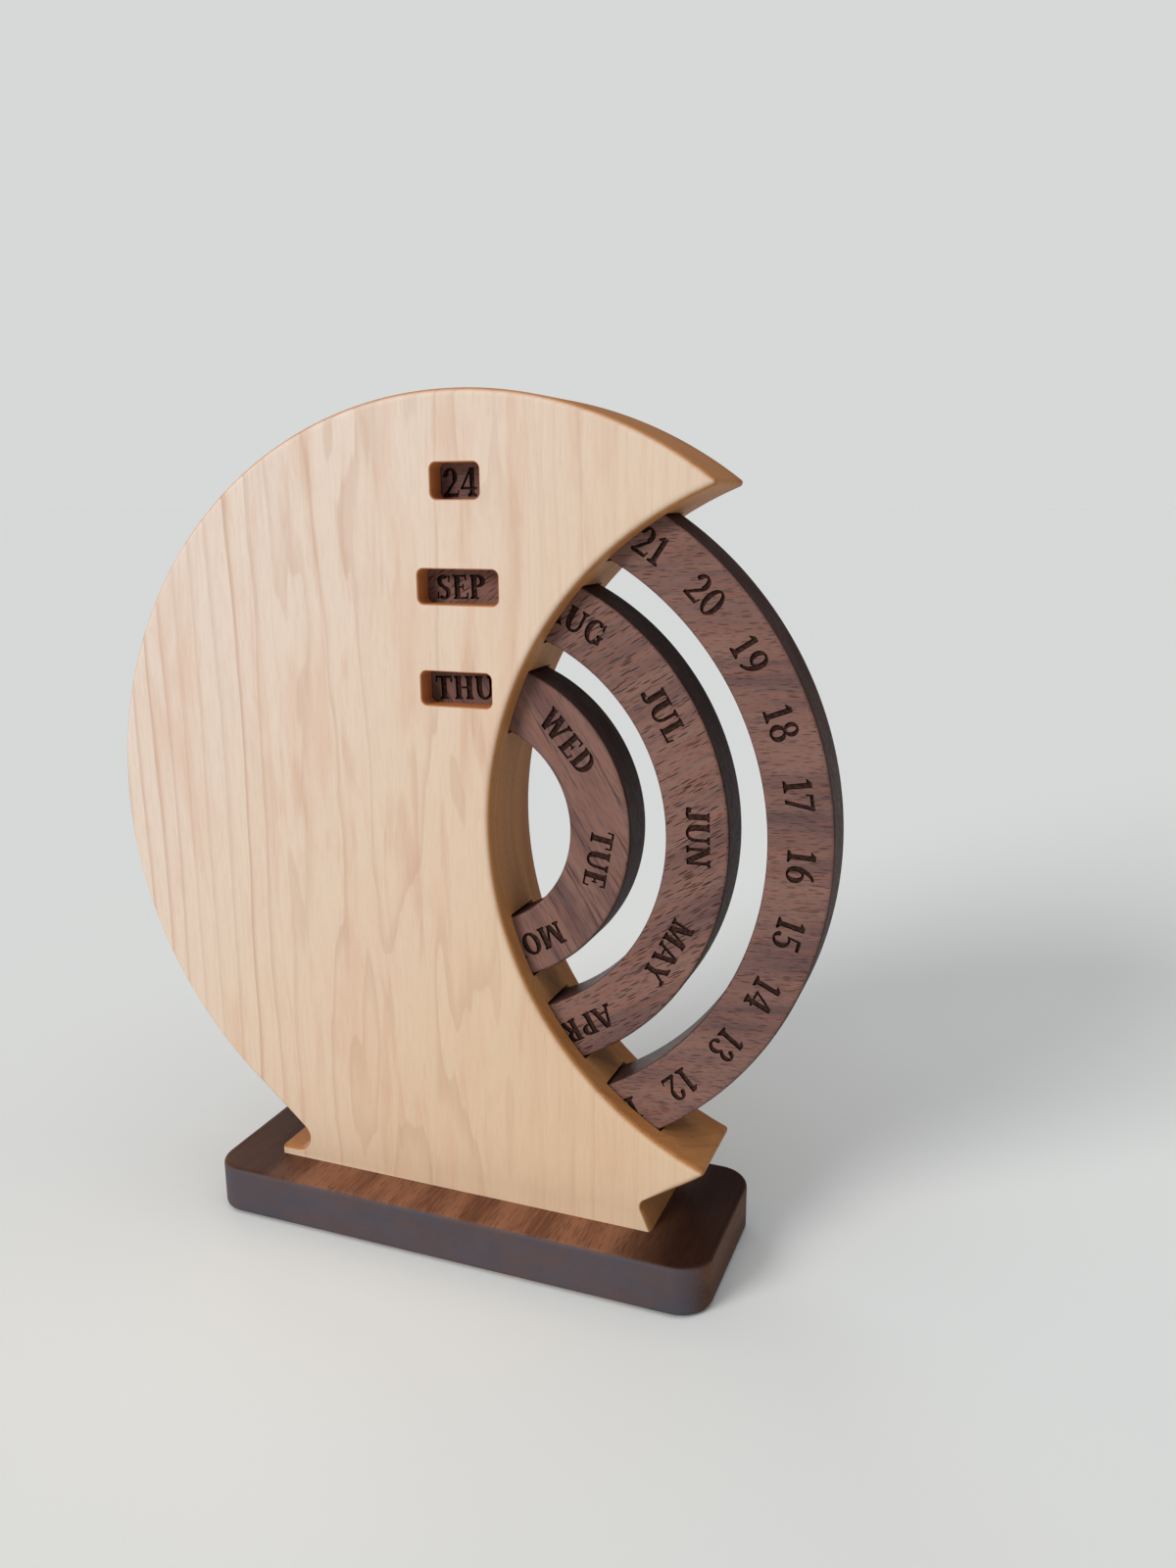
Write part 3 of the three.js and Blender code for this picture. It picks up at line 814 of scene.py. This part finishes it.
# %% The letters
open_bowl = bowl((0.42, 0.5), (0.39, 0.515), 42, 318) + post(0.71, 0.07, 0.66, 0.98)
letters = {
    "A": (0.90, stem(0.13, 0.41, thin) + stem(0.74, 0.47) + beam(0.22, 0.62, 0.28, 0.37)
          + serif(0.13, 0.14) + serif(0.74, 0.17)),
    "B": (0.80, post(0.21) + bowl((0.38, 0.755), (0.31, 0.245), -90, 90)
          + bowl((0.38, 0.27), (0.36, 0.27), -90, 90) + bars(0.39, 0.39, 0.39)),
    "C": (0.80, open_bowl),
    "D": (0.84, post(0.21) + bowl((0.37, 0.5), (0.42, 0.5), -90, 90) + bars(0.38, 0, 0.38)),
    "E": (0.72, post(0.21) + bars(0.64, 0.46, 0.61) + stem(0.62, 0.65, 0.07, 0, 0.27)
          + stem(0.58, 0.56, 0.07, 0.76, 1) + post(0.46, 0.06, 0.38, 0.63)),
    "F": (0.68, post(0.21) + serif(0.21, 0.17) + bars(0, 0.46, 0.61)
          + stem(0.58, 0.56, 0.07, 0.74, 1) + post(0.46, 0.06, 0.38, 0.63)),
    "G": (0.86, open_bowl + post(0.69, 0.16, 0.06, 0.44) + serif(0.69, 0.14, 0.46)),
    "H": (0.90, post(0.20) + post(0.68) + bars(0, 0.68) + serif(0.20, 0.17)
          + serif(0.68, 0.17) + serif(0.20, 0.17, 1) + serif(0.68, 0.17, 1)),
    "I": (0.46, post(0.22) + serif(0.22, 0.18) + serif(0.22, 0.18, 1)),
    "J": (0.58, post(0.38, thick, 0.22) + serif(0.38, 0.18, 1) + ball(0.10, 0.10, 0.095)
          + bowl((0.26, 0.23), (0.25, 0.24), 180, 360, thick * 0.9)),
    "L": (0.70, post(0.21) + serif(0.21, 0.18, 1) + bars(0.62)
          + stem(0.61, 0.64, 0.07, 0, 0.30)),
    "M": (1.10, post(0.16, thin) + post(0.88) + stem(0.51, 0.19, thick, 0.04)
          + stem(0.51, 0.83, thin, 0.04) + serif(0.16, 0.14) + serif(0.88, 0.17)
          + serif(0.14, 0.13, 1) + serif(0.90, 0.15, 1)),
    "N": (0.90, post(0.17, thin) + post(0.71, thin) + stem(0.66, 0.20)
          + serif(0.17, 0.14) + serif(0.15, 0.12, 1) + serif(0.71, 0.15, 1)),
    "O": (0.86, bowl((0.42, 0.5), (0.40, 0.515), 0, 360)),
    "P": (0.75, post(0.21) + bowl((0.36, 0.735), (0.34, 0.265), -90, 90) + serif(0.21, 0.18)
          + beam(0.2, 0.37, 0.47, 0.56) + bars(0, 0, 0.37)),
    "R": (0.84, post(0.21) + bowl((0.36, 0.745), (0.32, 0.255), -90, 90) + serif(0.21, 0.17)
          + beam(0.2, 0.37, 0.48, 0.57) + bars(0, 0, 0.37)
          + stem(0.66, 0.42, thick, 0, 0.52) + beam(0.60, 0.82, 0, 0.08)),
    "S": (0.70, bowl((0.32, 0.745), (0.26, 0.27), 35, 262, thick * 0.85)
          + bowl((0.34, 0.27), (0.28, 0.285), -145, 82, thick * 0.85)
          + stem(0.49, 0.17, thick, 0.36, 0.66) + post(0.56, 0.065, 0.70, 0.97)
          + post(0.08, 0.065, 0.03, 0.32)),
    "T": (0.82, post(0.39) + serif(0.39, 0.19) + bars(0, 0, 0.74)
          + stem(0.06, 0.08, 0.07, 0.72, 1) + stem(0.72, 0.70, 0.07, 0.72, 1)),
    "U": (0.88, post(0.21, thick, 0.33) + post(0.70, thin, 0.33)
          + bowl((0.43, 0.34), (0.32, 0.355), 180, 270)
          + bowl((0.43, 0.34), (0.318, 0.355), 270, 360, thin)
          + serif(0.20, 0.17, 1) + serif(0.70, 0.15, 1)),
    "V": (0.84, stem(0.42, 0.16) + stem(0.43, 0.69, thin) + serif(0.15, 0.17, 1)
          + serif(0.70, 0.14, 1)),
    "W": (1.24, stem(0.37, 0.14) + stem(0.38, 0.58, thin) + stem(0.82, 0.59)
          + stem(0.83, 1.06, thin) + serif(0.14, 0.16, 1) + serif(0.57, 0.13, 1)
          + serif(1.07, 0.14, 1)),
    "Y": (0.84, stem(0.41, 0.15, thick, 0.42) + stem(0.41, 0.69, thin, 0.42)
          + post(0.41, thick, 0, 0.5) + serif(0.41, 0.18) + serif(0.15, 0.16, 1)
          + serif(0.70, 0.14, 1)),
}
print("The letters", "".join(letters))

# %% [markdown]
# A word is set by adding up the widths of its letters and then centring the line. It could be bent
# to the ring, but the real words stay straight, so each is turned as a block to its place, with
# its head outwards. The rings stand as they do on one day, with a date, a month and a weekday
# behind the windows.

# %% Words round a ring
dates = [str(day) for day in range(1, 32)]
months = ["JAN", "FEB", "MAR", "APR", "MAY", "JUN", "JUL", "AUG", "SEP", "OCT", "NOV", "DEC"]
weekdays = ["MON", "TUE", "WED", "THU", "FRI", "SAT", "SUN"]
ring_words = [dates, months, weekdays]
ring_shown = ["24", "SEP", "THU"]
ring_slips = [radians(0.86), radians(1.66), radians(2.5)]
word_heights = [6.4 * mm, 5.6 * mm, 5.6 * mm]
word_offset = 0.3 * mm
word_stretch = 1.08
letter_gap = 0.05


def word(text, height):
    """The outlines of a word, centred on zero, in metres. A letter's width holds the gap that
    follows it, so the last gap doesn't count."""
    alphabet = {**letters, **figures}
    widths = [alphabet[sign][0] for sign in text]
    starts = np.cumsum([0, *widths[:-1]]) - (sum(widths) - letter_gap) / 2
    return [(part + (start, -0.5)) * (height * word_stretch, height)
            for sign, start in zip(text, starts) for part in alphabet[sign][1]]


def placed(outlines, radius, angle):
    """The outlines turned clockwise by the angle, and moved out to the radius: (u, v) goes to
    u times (cos, -sin) plus (v + radius) times (sin, cos)."""
    sine, cosine = sin(angle), cos(angle)
    return [np.column_stack((line[:, 0] * cosine + (line[:, 1] + radius) * sine,
                             (line[:, 1] + radius) * cosine - line[:, 0] * sine)) for line in outlines]


def words_round(words, shown, radius, height, slip):
    """Each word goes anticlockwise from the last, and the shown one lies at the top, short of it
    by the slip."""
    step = 2 * pi / len(words)
    marks = []
    for place, text in enumerate(words):
        marks += placed(word(text, height), radius, (words.index(shown) - place) * step - slip)
    return marks


print("The rings carry", [len(words) for words in ring_words], "words")

# %% [markdown]
# A ring is turned: its section, a rectangle with four eased corners, goes once round the axis.
# Cutting every mark with a Boolean would be slow, so the front face is left out of the section. It
# is a flat fill, cut along the ring's two circles and along all marks. Triangles inside any mark
# sink to the floor of the engraving, and walls close the step.

# %% Rings
mark_depth = 0.6 * mm
ring_edge = 0.8 * mm


def ring_circles(inner, outer):
    """The section's points as whole circles round the axis, from the front face's inner rim
    round the bore, the back and the outer side to its outer rim."""
    levels = eased(ring_front, ring_back, ring_edge, ring_edge)
    section = [(inner + inset, y) for inset, y in levels]
    section += [(outer - inset, y) for inset, y in levels[::-1]]
    return [upright(circle((0, 0), radius, ring_steps), y) for radius, y in section]


def engraved_face(outer, inner, marks):
    """The surface between two circles, and the floor and the walls of the marks in it. A wall
    stands on each edge that belongs to one triangle of the floor only."""
    points, triangles, inside = triangles_of([outer, inner, *marks])
    on_ring = np.array([0 in loops and 1 not in loops for loops in inside])
    in_mark = np.array([max(loops, default=0) > 1 for loops in inside])
    face, cut = triangles[on_ring & ~in_mark], triangles[on_ring & in_mark]
    edges = np.vstack((cut[:, [0, 1]], cut[:, [1, 2]], cut[:, [2, 0]]))
    first, count = np.unique(np.sort(edges), axis=0, return_index=True, return_counts=True)[1:]
    rim = edges[first[count == 1]]
    top, floor = upright(points, ring_front), upright(points, ring_front + mark_depth)
    walls = np.column_stack((rim, rim[:, ::-1] + len(points)))
    return (top, face, 0), (floor, cut, 1), (np.vstack((top, floor)), walls, 1)


def ring(place, body):
    """One ring: its turned section, closed by its engraved face, in plain and burnt walnut."""
    name = ring_names[place]
    circles = ring_circles(ring_inner[place], ring_outer[place])
    marks = words_round(ring_words[place], ring_shown[place],
                        ring_outer[place] - ring_width / 2 + word_offset,
                        word_heights[place], ring_slips[place])
    outer_rim, inner_rim = (circles[n][:, [0, 2]] - (axis.x, axis.z) for n in (-1, 0))
    patches = [strip(circles), *engraved_face(outer_rim, inner_rim, marks)]
    piece = sew(name + "_walnut", patches, [ring_walnuts[place], burnt_walnuts[place]])
    dress(piece, body, "ring_walnut", name)


for place, body in enumerate(("dates", "months", "weekdays")):
    ring(place, body)

# %% [markdown]
# The base is one block of darker walnut with round corners. Its two ends are painted darker still,
# as painted shade and a dark reflection, most of all on the top. Its fibres run from front to back,
# so its long front side shows end grain: greyer, matt and without lines. A beveled cube could stand
# for it, but a stack of outlines gives the round corners and the eased edges their own radii.

# %% Sizes and finish of the base
base_low, base_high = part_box("base_plinth")
base_middle = (base_low + base_high) / 2
base_length, base_depth, base_height = base_high - base_low
base_corner = 8.5 * mm
base_edge = 1.2 * mm
base_fibre = (pi / 2, 0, 0)
base_tones = colour(145, 100, 75), colour(103, 66, 49), colour(152, 99, 70)
# Where the base is painted darker at its ends, as shade and a dark reflection.
base_painted_shade = [(-38 * mm, -62 * mm, 0.76), (34 * mm, 56 * mm, 0.95)]
base_walnut = walnut("base walnut", base_fibre, base_tones, (0.5, 0.35), 0.3, 6 * mm,
                     colour(73, 74, 83), (0.3, 0.9), painted_shade_ends=base_painted_shade)
screw_names = ["base_screw_left", "base_screw_right"]
pad_names = ["pad_left_front", "pad_left_back", "pad_right_front", "pad_right_back"]
boxes = {name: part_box(name) for name in screw_names + pad_names}
centres = {name: ((low + high) / 2).xy for name, (low, high) in boxes.items()}
screw_centres, pad_centres = ([centres[name] for name in names] for names in (screw_names, pad_names))
head_bottom = boxes["base_screw_left"][0].z
head_radius, head_rim, head_depth = 3.6 * mm, 0.4 * mm, 2.2 * mm
shank_radius, screw_gap = 1.75 * mm, 0.3 * mm
pad_radius, pad_gap = 5 * mm, 0.3 * mm
pad_low, pad_high = (corner.z for corner in boxes["pad_left_front"])
print("The base is", [round(x / mm, 1) for x in (base_length, base_depth, base_height)], "mm")

# %% Base
def base_outline(inset):
    """The base seen from above."""
    size = base_length, base_depth
    return rounded_rectangle(base_middle.xy, size, base_corner, inset, base_corner_steps)


def turned(centre, profile):
    """A strip through circles of the profile's (radius, height) points."""
    return strip([lying(circle(centre, radius), z) for radius, z in profile])


def base():
    """The block with its eased edges, two countersunk holes and four shallow sockets."""
    head, shank, socket = head_radius + screw_gap, shank_radius + screw_gap, pad_radius + pad_gap
    sockets = [circle(centre, socket) for centre in pad_centres]
    patches = block(lying, base_outline, eased(base_low.z, base_high.z, base_edge, base_edge),
                    [circle(centre, head) for centre in screw_centres] + sockets,
                    [circle(centre, shank) for centre in screw_centres])
    patches += [turned(centre, [(head, base_low.z), (head, head_bottom + head_rim),
                                (shank, head_bottom + head_depth), (shank, base_high.z)])
                for centre in screw_centres]
    for mouth in sockets:
        patches.append(strip([lying(mouth, base_low.z), lying(mouth, pad_high)]))
        patches.append(fill(lying, pad_high, mouth))
    return sew("base_walnut", patches, [base_walnut])


dress(base(), "housing", "base_walnut", "base_plinth")

# %% [markdown]
# Two wood screws hold the crescent from below. A thread could be an edge that a Screw modifier
# winds up, but here it is a surface of two parameters, the angle and the height: the radius swells
# where the height, less the turns made so far, comes near a whole number of pitches. Four felt
# pads stand a little proud of the base.

# %% Steel and felt
def plain_material(name, shade, roughness, metallic, size, depth):
    """One colour that a fine grain darkens, with the grain in its roughness and height too. The
    grain's size and depth are in millimetres."""
    made, shader, place = new_material(name)
    rough = grain(place["Object"], (size, size, size), 4, 0.6)
    darker = *(0.6 * part for part in shade), 1
    face = layered((*shade, 1), (spread(rough, 0.3, 0.7), darker))
    shader["Metallic"].default_value = metallic
    dull = spread(rough, 0.3, 0.7, roughness * 0.8, min(roughness * 1.2, 1))
    surface(shader, face, dull, rough, 0.4, depth * mm)
    return made


screw_steel = plain_material("screw steel", (0.5, 0.51, 0.52), 0.3, 1.0, 0.6, 0.02)
felt = plain_material("felt", (0.09, 0.06, 0.045), 0.95, 0.0, 0.35, 0.3)
print("Made the steel and the felt")

# %% Screws
shank_length, point_length, point_radius = 6 * mm, 3.5 * mm, 0.4 * mm
thread_pitch, thread_depth, thread_gap = 1.1 * mm, 0.45 * mm, 0.3 * mm
recess_depth = 1.3 * mm
recess_mouth, recess_floor = (4.2 * mm, 0.9 * mm), (2 * mm, 0.5 * mm)


def cross(centre, length, width):
    """The outline of a cross-shaped recess: three corners of one arm, and the same three after
    one, two and three quarter turns, which each take (x, y) to (-y, x)."""
    arm = np.array([(length, width), (width, width), (width, length)]) / 2
    quarter = np.array([(0, 1), (-1, 0)])
    return np.vstack([arm @ np.linalg.matrix_power(quarter, n) for n in range(4)]) + centre


def thread(centre, low, high, steps=48, rows_a_turn=12):
    """Rows of points whose radius is the shank's less the depth, plus the depth times the sixth
    power of a cosine: of pi times the height over the pitch, less half the angle."""
    rows = int((high - low) / thread_pitch * rows_a_turn)
    z, turn = np.meshgrid(np.linspace(low, high, rows + 1),
                          np.linspace(0, 2 * pi, steps, endpoint=False), indexing="ij")
    swell = np.cos(pi * z / thread_pitch - turn / 2) ** 6
    radius = shank_radius - thread_depth + thread_depth * swell
    points = np.stack((centre[0] + radius * np.cos(turn), centre[1] + radius * np.sin(turn), z), -1)
    return list(points)


def screw(name):
    """A countersunk head with its recess, a plain shank, the thread and a tapered point."""
    centre, top = centres[name], boxes[name][1].z
    shank_end = head_bottom + head_depth + shank_length
    point_start = top - point_length
    mouth, floor = cross(centre, *recess_mouth), cross(centre, *recess_floor)
    plain = [(head_radius, head_bottom), (head_radius, head_bottom + head_rim),
             (shank_radius, head_bottom + head_depth), (shank_radius, shank_end)]
    point = [(shank_radius - thread_depth, point_start + thread_gap), (point_radius, top)]
    rows = [lying(circle(centre, radius), z) for radius, z in plain]
    rows += thread(centre, shank_end + thread_gap, point_start)
    rows += [lying(circle(centre, radius), z) for radius, z in point]
    patches = [strip(rows), fill(lying, top, circle(centre, point_radius)),
               fill(lying, head_bottom, circle(centre, head_radius), mouth),
               strip([lying(mouth, head_bottom), lying(floor, head_bottom + recess_depth)]),
               fill(lying, head_bottom + recess_depth, floor)]
    dress(sew(name + "_steel", patches, [screw_steel]), "housing", "screw_steel", name)


for name in screw_names:
    screw(name)

# %% Pads
pad_edge, pad_support = 0.35 * mm, 0.1 * mm


def pad(name):
    """A disc with a softly rounded lower rim."""
    centre = centres[name]
    patches = block(lying, lambda inset: circle(centre, pad_radius - inset),
                    eased(pad_low, pad_high, pad_edge, 0, 5, pad_support))
    dress(sew(name + "_felt", patches, [felt]), "housing", "felt", name)


for name in pad_names:
    pad(name)

# %% [markdown]
# The floor is plain and pale. Area lamps could light the piece, but a sun lamp's light is even
# whatever its distance. A broad one shines from the front left like a window, a very broad one from
# above like a ceiling, and a low one behind the left side picks out the edges. A pale surrounding
# fills the shadows, so the wood shows in about the colours that its materials state.

# %% Floor and light
floor_reach = 30.0
floor_look = {"Base Color": colour(236, 238, 237), "Roughness": 0.9, "Specular IOR Level": 0}
floor_mesh = bpy.data.meshes.new("floor")
floor_corners = [(x * floor_reach, y * floor_reach, 0) for x, y in ((-1, -1), (1, -1), (1, 1), (-1, 1))]
floor_mesh.from_pydata(floor_corners, [], [(0, 1, 2, 3)])
floor = show("floor", floor_mesh)
floor_paint = bpy.data.materials.new("floor paint")
floor_paint.use_nodes = True
for name, value in floor_look.items():
    floor_paint.node_tree.nodes["Principled BSDF"].inputs[name].default_value = value
floor_mesh.materials.append(floor_paint)


def lamp(name, place, strength, width, shade):
    """Even light from a disc in the sky that is width degrees wide."""
    made = show(name, bpy.data.lights.new(name, "SUN"))
    made.data.energy = strength
    made.data.angle = radians(width)
    made.data.color = shade
    made.rotation_euler = (-Vector(place)).to_track_quat("-Z", "Y").to_euler()


lamp("window light", (-0.5, -0.85, 0.45), 2.05, 26, (1, 0.98, 0.96))
lamp("ceiling light", (0.1, -0.2, 1), 1.0, 70, (1, 0.99, 0.97))
lamp("light from behind", (-0.75, 0.75, 0.05), 0.9, 30, (1, 0.99, 0.97))
world = bpy.data.worlds.new("pale surrounding")
world.use_nodes = True
sky = world.node_tree.nodes
fill_light, backdrop = (0.2, 0.21, 0.22, 1), colour(214, 217, 216)
seen = sky.new("ShaderNodeLightPath").outputs["Is Camera Ray"]
link(layered(fill_light, (seen, backdrop)), sky["Background"].inputs["Color"])
bpy.context.scene.world = world
bpy.context.scene.view_settings.view_transform = "Standard"
print("Three lamps and a pale surrounding light the calendar")
